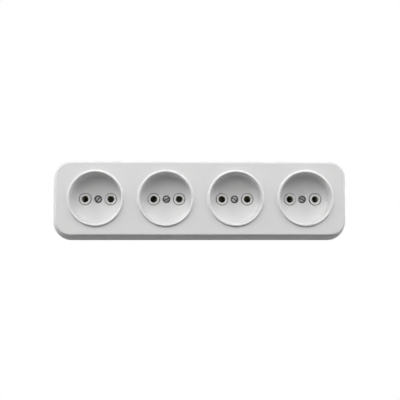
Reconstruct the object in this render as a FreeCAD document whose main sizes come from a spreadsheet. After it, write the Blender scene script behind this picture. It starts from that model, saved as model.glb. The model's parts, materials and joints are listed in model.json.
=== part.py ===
import FreeCAD, Part
import math
import os
import re
import Sketcher
from enum import IntEnum
from FreeCAD import Placement, Rotation, Vector

# Four-way surface socket for plugs with two round pins.
#
# Frame: the origin is the middle of the back, on the wall. X runs along the row of wells, to the right as
# seen from the front, Z is up, and the front looks toward -Y. A depth is a distance from the wall toward
# the user, so a point at depth d lies at Y = -d. All lengths are in millimetres, all angles in degrees.

# Name, value and meaning of each driving dimension.
DIMENSIONS = (
    ("way_count", 4, "wells in the row"),
    ("way_pitch", 51.0, "from the middle of one well to the next"),
    ("pin_spacing", 19.0, "between the two pins of a plug"),
    ("end_margin", 28.9, "from the middle of an end well to the end of the face"),
    ("face_height", 54.2, "height of the face"),
    ("face_corner_radius", 11.0, "corner of the face, seen from the front"),
    ("face_edge_radius", 1.7, "rounding between the face and the sides"),
    ("side_lean", 3.6, "how far each long side leans out from the face to the wall"),
    ("end_lean", 9.0, "how far each end leans out from the face to the wall"),
    ("cover_wall", 2.4, "wall of the cover's skirt and face"),
    ("rim_diameter", 39.2, "crest line of a rim"),
    ("rim_thickness", 1.6, "a rim, from the well to its outside"),
    ("rim_flat", 0.1, "flat left on top of a rim between its two roundings"),
    ("rim_height", 1.6, "how far a rim stands out of the face"),
    ("rim_foot_radius", 0.5, "blend between a rim's outside and the face"),
    ("well_depth", 13.0, "from the rim's crest to the ends of the collars"),
    ("well_wall", 2.0, "wall round a well"),
    ("well_floor", 3.2, "thickness of a well's floor in its middle"),
    ("well_heel_radius", 4.0, "outer rounding between a well's wall and its floor"),
    ("dish_rise", 2.6, "rise of the dished floor from its middle to the wall"),
    ("dish_radius", 2.5, "blend between the dished floor and the wall"),
    ("pin_hole_diameter", 5.2, "bore of a collar"),
    ("collar_diameter", 8.4, "outside of a collar"),
    ("collar_clearance", 0.3, "between a collar and the hole in the well's floor"),
    ("collar_edge_radius", 0.3, "rounding of a collar's end"),
    ("pin_room", 19.2, "room for a pin behind the end of its collar"),
    ("base_plate", 2.8, "thickness of the base"),
    ("base_lip_height", 5.0, "lip of the base above its plate"),
    ("base_lip_wall", 1.6, "wall of that lip"),
    ("base_clearance", 0.3, "between the base and the cover's skirt"),
    ("pillar_diameter", 7.0, "screw pillar of the base"),
    ("pillar_clearance", 0.25, "between a pillar and its hole in the block"),
    ("cable_hole_diameter", 12.0, "hole in the base for the supply cable"),
    ("wall_slot_length", 8.0, "slot for a wall screw, end to end"),
    ("wall_slot_width", 4.5, "width of that slot"),
    ("chamber_diameter", 8.2, "chamber of the block round a contact"),
    ("block_wall", 1.8, "wall of the block outside its chambers"),
    ("block_roof", 2.0, "thickness of the block above its chambers"),
    ("block_corner_radius", 3.0, "corner of the block"),
    ("seat_clearance", 0.2, "between the block and its seat in the base"),
    ("seat_wall", 1.5, "wall of that seat"),
    ("seat_height", 2.5, "height of that seat above the plate"),
    ("bus_height", 3.0, "from the plate to the underside of a bus"),
    ("bus_thickness", 1.0, "strip of a bus"),
    ("bus_width", 7.0, "width of a bus"),
    ("bus_gap", 2.6, "between the block and a bus"),
    ("bus_overhang", 4.0, "bus beyond its last rivet"),
    ("bus_corner_radius", 1.5, "corner of a bus"),
    ("pad_length", 6.0, "pad under a bus"),
    ("pad_margin", 0.5, "pad beyond the bus on each side"),
    ("peg_diameter", 2.0, "peg that locates a bus"),
    ("peg_clearance", 0.1, "round that peg"),
    ("peg_rise", 0.6, "peg above the bus"),
    ("contact_wall", 0.7, "sheet of a contact"),
    ("contact_clearance", 0.3, "between a contact and its chamber"),
    ("contact_bore", 5.0, "inside of a contact below its jaws"),
    ("jaw_bore", 3.8, "inside of the jaws at their waist"),
    ("jaw_mouth", 5.4, "inside of the jaws at their mouth"),
    ("jaw_waist_drop", 3.2, "from the mouth down to the waist"),
    ("jaw_waist_run", 2.4, "from the waist down to the straight tube"),
    ("jaw_round", 1.0, "rounding of the waist"),
    ("slit_width", 1.0, "slit between the two jaws"),
    ("slit_start", 0.8, "from the tab to the start of the slit"),
    ("tab_thickness", 0.8, "tab of a contact"),
    ("tab_width", 5.0, "width of that tab"),
    ("tab_end", 3.0, "tab beyond its rivet"),
    ("tab_clearance", 0.3, "between a tab and its notch in the block"),
    ("spring_wire", 0.9, "wire of a spring ring"),
    ("spring_clearance", 0.05, "between a spring ring and the waist"),
    ("spring_sweep", 320.0, "angle that the open ring covers"),
    ("rivet_diameter", 2.0, "shank of a rivet"),
    ("rivet_clearance", 0.05, "round that shank"),
    ("rivet_head_diameter", 3.8, "head of a rivet"),
    ("rivet_head_height", 0.7, "height of that head"),
    ("rivet_head_round", 0.5, "rounding of that head"),
    ("terminal_diameter", 3.9, "shank of a terminal screw"),
    ("terminal_clearance", 0.05, "round that shank"),
    ("terminal_head_diameter", 6.8, "head of a terminal screw"),
    ("terminal_head_height", 2.4, "height of that head"),
    ("terminal_tail", 2.0, "shank below the bus"),
    ("washer_side", 8.4, "side of a square clamp washer"),
    ("washer_thickness", 1.0, "thickness of that washer"),
    ("washer_corner_radius", 1.0, "corner of that washer"),
    ("washer_clearance", 0.2, "round the terminal screw"),
    ("screw_diameter", 3.0, "shank of a cover screw"),
    ("screw_clearance", 0.2, "round that shank"),
    ("screw_tip", 0.5, "from the wall to the tip of a cover screw"),
    ("screw_head_diameter", 4.7, "head of a cover screw"),
    ("screw_head_height", 1.6, "height of that head"),
    ("screw_head_round", 0.6, "rounding of a slotted head"),
    ("screw_sink", 2.1, "seat of the head below the middle of the well"),
    ("screw_seat_clearance", 0.5, "round the head in its seat"),
    ("driver_slot_width", 0.8, "slot of a screw head"),
    ("driver_slot_depth", 0.9, "depth of that slot"),
    ("slot_angle_first", 50.0, "turn of the first cover screw's slot, seen from the front"),
    ("slot_angle_second", 25.0, "turn of the second"),
    ("slot_angle_third", 145.0, "turn of the third"),
    ("slot_angle_fourth", 155.0, "turn of the fourth"),
    ("nut_width", 5.5, "across the flats of a nut"),
    ("nut_thickness", 2.4, "thickness of a nut"),
    ("nut_recess", 0.2, "nut below the back of the base"),
    ("nut_clearance", 0.15, "round a nut in its pocket"),
    ("thread_clearance", 0.05, "between a thread and its nut"),
)
ALIASES = {name for name, _, _ in DIMENSIONS}

# How far a cutting shape runs past the surface that it opens.
PAST = 1

# Levels, as depths from the wall, and other sizes that follow from the driving dimensions.
COLLAR_END = "(base_plate + pin_room)"
RIM_CREST = f"({COLLAR_END} + well_depth)"
FACE = f"({RIM_CREST} - rim_height)"
FACE_LENGTH = "(way_pitch * (way_count - 1) + 2 * end_margin)"
WELL_RADIUS = "((rim_diameter - rim_thickness) / 2)"
RIM_RADIUS = "((rim_diameter + rim_thickness) / 2)"
RIM_ROUND = "((rim_thickness - rim_flat) / 2)"
CUP_RADIUS = f"({WELL_RADIUS} + well_wall)"
PIN_X = "(pin_spacing / 2)"
COLLAR_RADIUS = "(collar_diameter / 2)"
DISH_MIDDLE = f"({COLLAR_END} - dish_rise * ({PIN_X} + {COLLAR_RADIUS}) / {WELL_RADIUS})"
DISH_EDGE = f"({DISH_MIDDLE} + dish_rise)"
WELL_BACK = f"({DISH_MIDDLE} - well_floor)"
CHAMBER_END = f"({WELL_BACK} - block_roof)"
CHAMBER_RADIUS = "(chamber_diameter / 2)"
BLOCK_LENGTH = "(pin_spacing + chamber_diameter + 2 * block_wall)"
BLOCK_HEIGHT = "(chamber_diameter + 2 * block_wall)"
BUS_LEVEL = "(base_plate + bus_height)"
BUS_TOP = f"({BUS_LEVEL} + bus_thickness)"
BUS_Z = f"({BLOCK_HEIGHT} / 2 + bus_gap + bus_width / 2)"
TAB_TOP = f"({BUS_TOP} + tab_thickness)"
CONTACT_END = f"({CHAMBER_END} - contact_clearance)"
JAW_WAIST = f"({CONTACT_END} - jaw_waist_drop)"
WASHER_TOP = f"({BUS_TOP} + washer_thickness)"
SCREW_SEAT = f"({DISH_MIDDLE} - screw_sink)"
SCREW_HOLE_RADIUS = "(screw_diameter / 2 + screw_clearance)"
NUT_TOP = "(nut_recess + nut_thickness)"
OUTER_GAP_X = "((way_count - 2) / 2 * way_pitch)"
ENTRY_X = "((floor((way_count - 2) / 2) - (way_count - 2) / 2) * way_pitch)"
PAD_OFFSET = f"((way_pitch / 2 - {PIN_X}) / 2)"
SLOT_ANGLES = ("slot_angle_first", "slot_angle_second", "slot_angle_third", "slot_angle_fourth")

SIDES = (-1, 1)


class Spot(IntEnum):
    """The spot on a sketch element that a constraint holds."""

    START = 1
    END = 2
    CENTRE = 3


class Axis(IntEnum):
    """A sketch's own axis, as its constraints number it."""

    X = -1
    Y = -2


START, END, CENTRE = Spot
X_AXIS, Y_AXIS = Axis

document = FreeCAD.newDocument("SurfaceSocket")
sheet = document.addObject("Spreadsheet::Sheet", "Dims")
pieces = []


def fill_sheet():
    """Write every driving dimension into the sheet, with its name and meaning beside it."""
    for row, (name, value, meaning) in enumerate(DIMENSIONS, start=1):
        sheet.set(f"A{row}", name)
        sheet.set(f"B{row}", str(value))
        sheet.set(f"C{row}", meaning)
        sheet.setAlias(f"B{row}", name)
    document.recompute()


def bound(expression):
    """The expression with each dimension's name pointing into the sheet."""
    return re.sub(r"[a-z_]+", lambda word: f"Dims.{word[0]}" if word[0] in ALIASES else word[0], expression)


def number(expression):
    """The present value of an expression."""
    return float(sheet.evalExpression(bound(expression)))


def way_x(index):
    """Place of a way's middle along the row, counted from the left."""
    return f"(({index} - (way_count - 1) / 2) * way_pitch)"


# Sketch elements


def fix(sketch, kind, expression, *elements):
    """Add a constraint whose value is bound to the expression."""
    index = sketch.addConstraint(Sketcher.Constraint(kind, *elements, number(expression)))
    sketch.setExpression(f"Constraints[{index}]", bound(expression))


def place_point(sketch, element, position, x, y):
    """Hold a point of the sketch at x and y."""
    for kind, axis, expression in (("DistanceX", Y_AXIS, x), ("DistanceY", X_AXIS, y)):
        value = number(expression)
        if abs(value) < 1e-9:
            sketch.addConstraint(Sketcher.Constraint("PointOnObject", element, position, axis))
        elif value < 0:
            fix(sketch, kind, f"-({expression})", element, position, X_AXIS, START)
        else:
            fix(sketch, kind, expression, X_AXIS, START, element, position)


def circle(radius, x="0", y="0"):
    """A drawing of one circle."""
    def draw(sketch):
        middle = Vector(number(x), number(y), 0)
        element = sketch.addGeometry(Part.Circle(middle, Vector(0, 0, 1), number(radius)))
        place_point(sketch, element, CENTRE, x, y)
        fix(sketch, "Radius", radius, element)
    return draw


def arc_between(first, last, middle, radius, anticlockwise):
    """An arc about its middle, and which of its ends lies at the first and at the last point."""
    if not anticlockwise:
        first, last = last, first
    turns = [math.atan2(point.y - middle.y, point.x - middle.x) for point in (first, last)]
    if turns[1] < turns[0]:
        turns[1] += 2 * math.pi
    arc = Part.ArcOfCircle(Part.Circle(middle, Vector(0, 0, 1), radius), *turns)
    return arc, (START, END) if anticlockwise else (END, START)


def outline(corners):
    """A drawing of a closed outline through corners of x, y and radius, None for a sharp one.

    A rounded corner keeps its own point, which both of its lines run through.
    """
    def draw(sketch):
        count = len(corners)
        points = [Vector(number(x), number(y), 0) for x, y, _ in corners]
        leave = []
        arrive = []
        arcs = {}
        for index, (point, (_, _, rounding)) in enumerate(zip(points, corners)):
            back = (points[index - 1] - point).normalize()
            ahead = (points[(index + 1) % count] - point).normalize()
            radius = number(rounding) if rounding else 0.0
            half = back.getAngle(ahead) / 2
            reach = radius / math.tan(half)
            arrive.append(point + back * reach)
            leave.append(point + ahead * reach)
            if rounding:
                middle = point + (back + ahead).normalize() * (radius / math.sin(half))
                arcs[index] = arc_between(arrive[-1], leave[-1], middle, radius, back.cross(ahead).z < 0)
        lines = [
            sketch.addGeometry(Part.LineSegment(leave[index], arrive[(index + 1) % count]))
            for index in range(count)
        ]
        for index, (x, y, rounding) in enumerate(corners):
            before, after = lines[index - 1], lines[index]
            if not rounding:
                sketch.addConstraint(Sketcher.Constraint("Coincident", before, END, after, START))
                place_point(sketch, after, START, x, y)
                continue
            curve, (first, last) = arcs[index]
            arc = sketch.addGeometry(curve)
            sketch.addConstraint(Sketcher.Constraint("Tangent", before, END, arc, first))
            sketch.addConstraint(Sketcher.Constraint("Tangent", arc, last, after, START))
            fix(sketch, "Radius", rounding, arc)
            corner = sketch.addGeometry(Part.Point(points[index]), True)
            place_point(sketch, corner, START, x, y)
            sketch.addConstraint(Sketcher.Constraint("PointOnObject", corner, START, before))
            sketch.addConstraint(Sketcher.Constraint("PointOnObject", corner, START, after))
    return draw


def rectangle(width, height, radius=None, x="0", y="0"):
    """A drawing of an upright rectangle about x and y."""
    return outline([
        (f"({x} + ({side}) * {width} / 2)", f"({y} + ({rise}) * {height} / 2)", radius)
        for side, rise in ((-1, -1), (1, -1), (1, 1), (-1, 1))
    ])


def slot(length, width, x="0", y="0"):
    """A drawing of a slot along x, with round ends."""
    def draw(sketch):
        radius = number(width) / 2
        half_run = (number(length) - number(width)) / 2
        centre_x, centre_y = number(x), number(y)
        ends = []
        for side, start_turn in ((1, -math.pi / 2), (-1, math.pi / 2)):
            middle = Vector(centre_x + side * half_run, centre_y, 0)
            round_end = Part.Circle(middle, Vector(0, 0, 1), radius)
            end = sketch.addGeometry(Part.ArcOfCircle(round_end, start_turn, start_turn + math.pi))
            place_point(sketch, end, CENTRE, f"({x} + ({side}) * ({length} - {width}) / 2)", y)
            fix(sketch, "Radius", f"{width} / 2", end)
            ends.append(end)
        for side, (leaving, arriving) in ((1, ends), (-1, ends[::-1])):
            start = Vector(centre_x + side * half_run, centre_y + side * radius, 0)
            finish = Vector(centre_x - side * half_run, centre_y + side * radius, 0)
            line = sketch.addGeometry(Part.LineSegment(start, finish))
            sketch.addConstraint(Sketcher.Constraint("Tangent", leaving, END, line, START))
            sketch.addConstraint(Sketcher.Constraint("Tangent", line, END, arriving, START))
    return draw


def hexagon(width, x="0"):
    """A drawing of a hexagon about x, of a width across its flats."""
    return outline([
        (f"({x} + {width} / sqrt(3) * cos({turned}))", f"({width} / sqrt(3) * sin({turned}))", None)
        for turned in range(0, 360, 60)
    ])


# Bodies and features


def new_body(label):
    """An empty body that becomes one piece."""
    body = document.addObject("PartDesign::Body", label)
    body.Label = label
    pieces.append(body)
    return body


def shift(body, x):
    """Place a body along the row."""
    body.setExpression("Placement.Base.x", bound(x))


def new_sketch(body, name, role, offset, bindings, drawings):
    """A sketch on one of the body's origin planes, moved by the offset and holding the drawings."""
    sketch = body.newObject("Sketcher::SketchObject", name)
    plane = next(item for item in body.Origin.OriginFeatures if item.Role == role)
    sketch.AttachmentSupport = [(plane, "")]
    sketch.MapMode = "FlatFace"
    sketch.AttachmentOffset = offset
    for path, expression in bindings.items():
        sketch.setExpression(path, bound(expression))
    for draw in drawings:
        draw(sketch)
    return sketch


def wall_sketch(body, name, depth, drawings):
    """A sketch parallel to the wall, seen from the front, with its x along X and its y along Z."""
    offset = Placement(Vector(0, 0, number(depth)), Rotation())
    return new_sketch(body, name, "XZ_Plane", offset, {"AttachmentOffset.Base.z": depth}, drawings)


def extrude(body, kind, name, start, end, *drawings):
    """Pad or pocket drawings from one depth to a greater one."""
    sketch = wall_sketch(body, f"{name}Sketch", start, drawings)
    feature = body.newObject(f"PartDesign::{kind}", name)
    feature.Profile = sketch
    feature.Reversed = kind == "Pocket"
    feature.setExpression("Length", bound(f"{end} - {start}"))
    return feature


def turn(body, kind, name, drawing, x="0", sweep="360"):
    """Revolve a drawing of radius and depth about the line through x that stands on the wall."""
    # The half turn about X makes the sketch's y a depth.
    offset = Placement(Vector(number(x), 0, 0), Rotation(Vector(1, 0, 0), 180))
    bindings = {"AttachmentOffset.Base.x": x}
    sketch = new_sketch(body, f"{name}Sketch", "XY_Plane", offset, bindings, [drawing])
    feature = body.newObject(f"PartDesign::{kind}", name)
    feature.Profile = sketch
    feature.ReferenceAxis = (sketch, ["V_Axis"])
    feature.setExpression("Angle", bound(sweep))
    return feature


def leaning_outline(depth, inset):
    """The outline of the leaning sides at a depth, drawn in by an inset."""
    share = f"(1 - {depth} / {FACE})"
    length = f"({FACE_LENGTH} + 2 * end_lean * {share} - 2 * {inset})"
    height = f"(face_height + 2 * side_lean * {share} - 2 * {inset})"
    return rectangle(length, height, f"(face_corner_radius + side_lean * {share} - {inset})")


def loft(body, kind, name, start, end, inset):
    """Add or take away the leaning box between two depths."""
    near, far = (
        wall_sketch(body, f"{name}{place}", depth, [leaning_outline(depth, inset)])
        for place, depth in (("Near", start), ("Far", end))
    )
    feature = body.newObject(f"PartDesign::{kind}", name)
    feature.Profile = near
    feature.Sections = [far]
    feature.Ruled = True
    return feature


def repeat(body, name, features):
    """Repeat the features of the first way at every way."""
    pattern = body.newObject("PartDesign::LinearPattern", name)
    pattern.Originals = features
    pattern.Direction = (features[-1].Profile[0], ["H_Axis"])
    pattern.setExpression("Length", bound("way_pitch * (way_count - 1)"))
    pattern.setExpression("Occurrences", bound("way_count"))
    body.Tip = pattern
    return pattern


def round_edges(body, name, feature, radius, depth):
    """Round every edge of the feature that lies wholly at the depth."""
    document.recompute()
    level = -number(depth)
    edges = [
        f"Edge{index}"
        for index, edge in enumerate(feature.Shape.Edges, start=1)
        if abs(edge.BoundBox.YMin - level) < 1e-6 and abs(edge.BoundBox.YMax - level) < 1e-6
    ]
    fillet = body.newObject("PartDesign::Fillet", name)
    fillet.Base = (feature, edges)
    fillet.setExpression("Radius", bound(radius))
    return fillet


# Cover


def build_cover():
    """The moulding with its leaning skirt, its face and a rimmed, dished well for each way."""
    body = new_body("cover")
    shell = loft(body, "AdditiveLoft", "Shell", "0", FACE, "0")
    round_edges(body, "FaceEdge", shell, "face_edge_radius", FACE)
    loft(body, "SubtractiveLoft", "Cavity", f"(-{PAST})", f"({FACE} - cover_wall)", "cover_wall")
    first = way_x(0)
    inside_face = f"({FACE} - cover_wall / 2)"
    foot_radius = f"({CUP_RADIUS} + 2 * rim_foot_radius)"
    cup = turn(body, "Revolution", "Cup", outline([
        ("0", WELL_BACK, None),
        (CUP_RADIUS, WELL_BACK, "well_heel_radius"),
        (CUP_RADIUS, inside_face, None),
        (foot_radius, inside_face, None),
        (foot_radius, FACE, None),
        (RIM_RADIUS, FACE, "rim_foot_radius"),
        (RIM_RADIUS, RIM_CREST, RIM_ROUND),
        ("0", RIM_CREST, None),
    ]), first)
    above = f"({RIM_CREST} + {PAST})"
    beyond = f"({RIM_RADIUS} + {PAST})"
    well = turn(body, "Groove", "Well", outline([
        ("0", DISH_MIDDLE, None),
        (WELL_RADIUS, DISH_EDGE, "dish_radius"),
        (WELL_RADIUS, RIM_CREST, RIM_ROUND),
        (beyond, RIM_CREST, None),
        (beyond, above, None),
        ("0", above, None),
    ]), first)
    below = f"({WELL_BACK} - {PAST})"
    hole_radius = f"({COLLAR_RADIUS} + collar_clearance)"
    collar_holes = extrude(
        body, "Pocket", "CollarHoles", below, f"({COLLAR_END} + {PAST})",
        *(circle(hole_radius, f"({first} + ({side}) * {PIN_X})") for side in SIDES),
    )
    seat_radius = "(screw_head_diameter / 2 + screw_seat_clearance)"
    screw_seat = extrude(
        body, "Pocket", "ScrewSeat", SCREW_SEAT, f"({DISH_MIDDLE} + {PAST})", circle(seat_radius, first))
    screw_hole = extrude(
        body, "Pocket", "ScrewHole", below, f"({SCREW_SEAT} + {PAST})", circle(SCREW_HOLE_RADIUS, first))
    repeat(body, "Wells", [cup, well, collar_holes, screw_seat, screw_hole])


# Base


def build_base():
    """The back plate with its lip, screw pillars, block seats, bus pads, wall slots and cable hole."""
    body = new_body("base")
    lip_top = "(base_plate + base_lip_height)"
    inset = "(cover_wall + base_clearance)"
    loft(body, "AdditiveLoft", "Tray", "0", lip_top, inset)
    loft(
        body, "SubtractiveLoft", "TrayInside", "base_plate", f"({lip_top} + {PAST})",
        "(cover_wall + base_clearance + base_lip_wall)")
    first = way_x(0)
    pillar = extrude(
        body, "Pad", "Pillar", "base_plate", CHAMBER_END, circle("pillar_diameter / 2", first))
    seat_top = "(base_plate + seat_height)"
    seat = extrude(body, "Pad", "Seat", "base_plate", seat_top, *(
        rectangle(
            f"({BLOCK_LENGTH} + 2 * {growth})", f"({BLOCK_HEIGHT} + 2 * {growth})",
            f"(block_corner_radius + {growth})", first)
        for growth in ("(seat_clearance + seat_wall)", "seat_clearance")
    ))
    behind = f"(-{PAST})"
    screw_hole = extrude(
        body, "Pocket", "ScrewHole", behind, f"({CHAMBER_END} + {PAST})", circle(SCREW_HOLE_RADIUS, first))
    nut_pocket = extrude(
        body, "Pocket", "NutPocket", behind, NUT_TOP, hexagon("(nut_width + 2 * nut_clearance)", first))
    repeat(body, "Ways", [pillar, seat, screw_hole, nut_pocket])
    outer_gaps = [f"({side}) * {OUTER_GAP_X}" for side in SIDES]
    # Each of these pads lies half way between a terminal screw and the next rivet.
    terminal_pads = [f"({ENTRY_X} + ({side}) * {PAD_OFFSET})" for side in SIDES]
    rows = [f"({side}) * {BUS_Z}" for side in SIDES]
    extrude(body, "Pad", "BusPads", "base_plate", BUS_LEVEL, *(
        rectangle("pad_length", "(bus_width + 2 * pad_margin)", None, x, z)
        for x in outer_gaps + terminal_pads for z in rows
    ))
    extrude(body, "Pad", "BusPegs", BUS_LEVEL, f"({BUS_TOP} + peg_rise)", *(
        circle("peg_diameter / 2", x, z) for x in outer_gaps for z in rows
    ))
    through = f"(base_plate + {PAST})"
    extrude(body, "Pocket", "WallSlots", behind, through, *(
        slot("wall_slot_length", "wall_slot_width", x) for x in outer_gaps
    ))
    extrude(body, "Pocket", "CableHole", behind, through, circle("cable_hole_diameter / 2", ENTRY_X))


# Contacts and their blocks


def build_contact_block(index):
    """The insulating block of one way, with a collar and a chamber for each pin."""
    body = new_body(f"contact_block_{index + 1}")
    shift(body, way_x(index))
    extrude(
        body, "Pad", "Block", "base_plate", WELL_BACK,
        rectangle(BLOCK_LENGTH, BLOCK_HEIGHT, "block_corner_radius"))
    pins = [f"({side}) * {PIN_X}" for side in SIDES]
    collars = extrude(
        body, "Pad", "Collars", WELL_BACK, COLLAR_END, *(circle(COLLAR_RADIUS, x) for x in pins))
    round_edges(body, "CollarEnds", collars, "collar_edge_radius", COLLAR_END)
    below = f"(base_plate - {PAST})"
    extrude(body, "Pocket", "Chambers", below, CHAMBER_END, *(circle(CHAMBER_RADIUS, x) for x in pins))
    extrude(body, "Pocket", "Bores", below, f"({COLLAR_END} + {PAST})", *(
        circle("pin_hole_diameter / 2", x) for x in pins
    ))
    extrude(
        body, "Pocket", "PillarHole", below, CHAMBER_END, circle("(pillar_diameter / 2 + pillar_clearance)"))
    extrude(body, "Pocket", "ScrewHole", below, f"({WELL_BACK} + {PAST})", circle(SCREW_HOLE_RADIUS))
    notch_width = "(tab_width + 2 * tab_clearance)"
    notch_run = f"({BLOCK_HEIGHT} / 2 + {PAST})"
    extrude(body, "Pocket", "TabNotches", below, f"({TAB_TOP} + tab_clearance)", *(
        rectangle(notch_width, notch_run, None, x, f"(-({side}) * {notch_run} / 2)")
        for side, x in zip(SIDES, pins)
    ))


def jaw_profile(bore_growth, start, end):
    """The waisted outline of a contact from its foot to its mouth, grown out from its bore."""
    return [
        ("0", start, None),
        (f"(contact_bore / 2 + {bore_growth})", start, None),
        (f"(contact_bore / 2 + {bore_growth})", f"({JAW_WAIST} - jaw_waist_run)", None),
        (f"(jaw_bore / 2 + {bore_growth})", JAW_WAIST, "jaw_round"),
        (f"(jaw_mouth / 2 + {bore_growth})", CONTACT_END, None),
        *([(f"(jaw_mouth / 2 + {bore_growth})", end, None)] if end != CONTACT_END else []),
        ("0", end, None),
    ]


def build_contact(label, x, turned):
    """A slit tulip contact with its tab, which points up, or down where it is turned."""
    body = new_body(label)
    body.Placement = Placement(Vector(), Rotation(Vector(0, 1, 0), turned))
    shift(body, x)
    turn(body, "Revolution", "Tulip", outline(jaw_profile("contact_wall", "base_plate", CONTACT_END)))
    tab_run = f"({BUS_Z} + tab_end)"
    extrude(body, "Pad", "Flange", BUS_TOP, TAB_TOP, circle(f"({CHAMBER_RADIUS} - contact_clearance)"))
    extrude(
        body, "Pad", "Tab", BUS_TOP, TAB_TOP, rectangle("tab_width", tab_run, None, "0", f"({tab_run} / 2)"))
    turn(body, "Groove", "Bore", outline(
        jaw_profile("0", f"(base_plate - {PAST})", f"({CONTACT_END} + {PAST})")))
    extrude(
        body, "Pocket", "Slit", f"({TAB_TOP} + slit_start)", f"({CONTACT_END} + {PAST})",
        rectangle("chamber_diameter", "slit_width"))
    extrude(
        body, "Pocket", "RivetHole", f"({BUS_TOP} - {PAST})", f"({TAB_TOP} + {PAST})",
        circle("(rivet_diameter / 2 + rivet_clearance)", "0", BUS_Z))


def build_spring(label, x):
    """The open wire ring round the waist of a contact."""
    body = new_body(label)
    shift(body, x)
    ring_radius = "(jaw_bore / 2 + contact_wall + spring_clearance + spring_wire / 2)"
    turn(body, "Revolution", "Ring", circle("spring_wire / 2", ring_radius, JAW_WAIST), "0", "spring_sweep")


def build_rivet(label, x, z):
    """The rivet that joins a contact's tab to its bus."""
    body = new_body(label)
    shift(body, x)
    body.setExpression("Placement.Base.z", bound(z))
    shank = "rivet_diameter / 2"
    head = "rivet_head_diameter / 2"
    lower = f"({BUS_LEVEL} - rivet_head_height)"
    upper = f"({TAB_TOP} + rivet_head_height)"
    turn(body, "Revolution", "Rivet", outline([
        ("0", lower, None),
        (head, lower, "rivet_head_round"),
        (head, BUS_LEVEL, None),
        (shank, BUS_LEVEL, None),
        (shank, TAB_TOP, None),
        (head, TAB_TOP, None),
        (head, upper, "rivet_head_round"),
        ("0", upper, None),
    ]))


def build_bus(label, side):
    """A brass strip, above the blocks with a side of 1 and below them with -1."""
    body = new_body(label)
    middle = f"(-({side}) * {PIN_X})"
    z = f"(({side}) * {BUS_Z})"
    extrude(
        body, "Pad", "Strip", BUS_LEVEL, BUS_TOP,
        rectangle(
            "(way_pitch * (way_count - 1) + 2 * bus_overhang)", "bus_width", "bus_corner_radius", middle, z))
    below = f"({BUS_LEVEL} - {PAST})"
    above = f"({BUS_TOP} + {PAST})"
    peg_hole = "(peg_diameter / 2 + peg_clearance)"
    extrude(
        body, "Pocket", "FixedHoles", below, above,
        circle("(terminal_diameter / 2 + terminal_clearance)", ENTRY_X, z),
        *(circle(peg_hole, f"({end}) * {OUTER_GAP_X}", z) for end in SIDES))
    rivet_hole = extrude(
        body, "Pocket", "RivetHole", below, above,
        circle("(rivet_diameter / 2 + rivet_clearance)", f"({way_x(0)} + {middle})", z))
    repeat(body, "RivetHoles", [rivet_hole])


# Screws, washers and nuts


def slotted_screw(body, tip, seat, shank, head, head_height):
    """A screw with a rounded, slotted head."""
    top = f"({seat} + {head_height})"
    turn(body, "Revolution", "Screw", outline([
        ("0", tip, None),
        (shank, tip, None),
        (shank, seat, None),
        (head, seat, None),
        (head, top, "screw_head_round"),
        ("0", top, None),
    ]))
    extrude(
        body, "Pocket", "DriverSlot", f"({top} - driver_slot_depth)", f"({top} + {PAST})",
        rectangle(f"(2 * {head} + {PAST})", "driver_slot_width"))


def build_terminal(name, side):
    """The terminal screw of a bus and the square washer that clamps the wire."""
    z = f"(({side}) * {BUS_Z})"
    screw = new_body(f"terminal_screw_{name}")
    washer = new_body(f"terminal_washer_{name}")
    for body in (screw, washer):
        shift(body, ENTRY_X)
        body.setExpression("Placement.Base.z", bound(z))
    slotted_screw(
        screw, f"({BUS_LEVEL} - terminal_tail)", WASHER_TOP, "terminal_diameter / 2",
        "terminal_head_diameter / 2", "terminal_head_height")
    extrude(
        washer, "Pad", "Washer", BUS_TOP, WASHER_TOP,
        rectangle("washer_side", "washer_side", "washer_corner_radius"),
        circle("(terminal_diameter / 2 + washer_clearance)"))


def build_cover_screw(index):
    """The screw in the middle of a well, with its slot turned as it was tightened."""
    body = new_body(f"cover_screw_{index + 1}")
    angle = SLOT_ANGLES[index % len(SLOT_ANGLES)]
    # The axis points at the user, so the angle is read anticlockwise from the front.
    body.Placement = Placement(Vector(), Rotation(Vector(0, -1, 0), number(angle)))
    body.setExpression("Placement.Rotation.Angle", bound(angle))
    shift(body, way_x(index))
    slotted_screw(
        body, "screw_tip", SCREW_SEAT, "screw_diameter / 2", "screw_head_diameter / 2", "screw_head_height")


def build_cover_nut(index):
    """The hexagon nut that a cover screw pulls against the base."""
    body = new_body(f"cover_nut_{index + 1}")
    shift(body, way_x(index))
    extrude(
        body, "Pad", "Nut", "nut_recess", NUT_TOP,
        hexagon("nut_width"), circle("(screw_diameter / 2 + thread_clearance)"))


# Assembly


def build_ways():
    """Everything that each way has of its own."""
    ways = range(int(number("way_count")))
    for index in ways:
        build_contact_block(index)
        build_cover_screw(index)
        build_cover_nut(index)
    for row, (name, side, turned) in enumerate((("line", -1, 0), ("neutral", 1, 180))):
        for index in ways:
            x = f"({way_x(index)} + ({side}) * {PIN_X})"
            place = row * len(ways) + index + 1
            build_contact(f"{name}_contact_{index + 1}", x, turned)
            build_spring(f"contact_spring_{place}", x)
            build_rivet(f"contact_rivet_{place}", x, f"(-({side}) * {BUS_Z})")


def check_and_write():
    """Write each piece once every object is sound and every cut has taken something away."""
    document.recompute()
    for item in document.Objects:
        if {"Invalid", "Error"} & set(item.State):
            raise RuntimeError(f"{item.Label} is {item.State}")
        if item.TypeId in ("PartDesign::Pocket", "PartDesign::Groove", "PartDesign::SubtractiveLoft"):
            if item.BaseFeature.Shape.Volume - item.Shape.Volume < 1e-3:
                raise RuntimeError(f"{item.Label} cuts nothing")
    os.makedirs("parts", exist_ok=True)
    for body in pieces:
        shape = body.Shape
        if shape.isNull() or not shape.isValid() or len(shape.Solids) != 1:
            raise RuntimeError(f"{body.Label} is not one sound solid")
    for body in pieces:
        body.Shape.exportStep(f"parts/{body.Label}.step")


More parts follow.
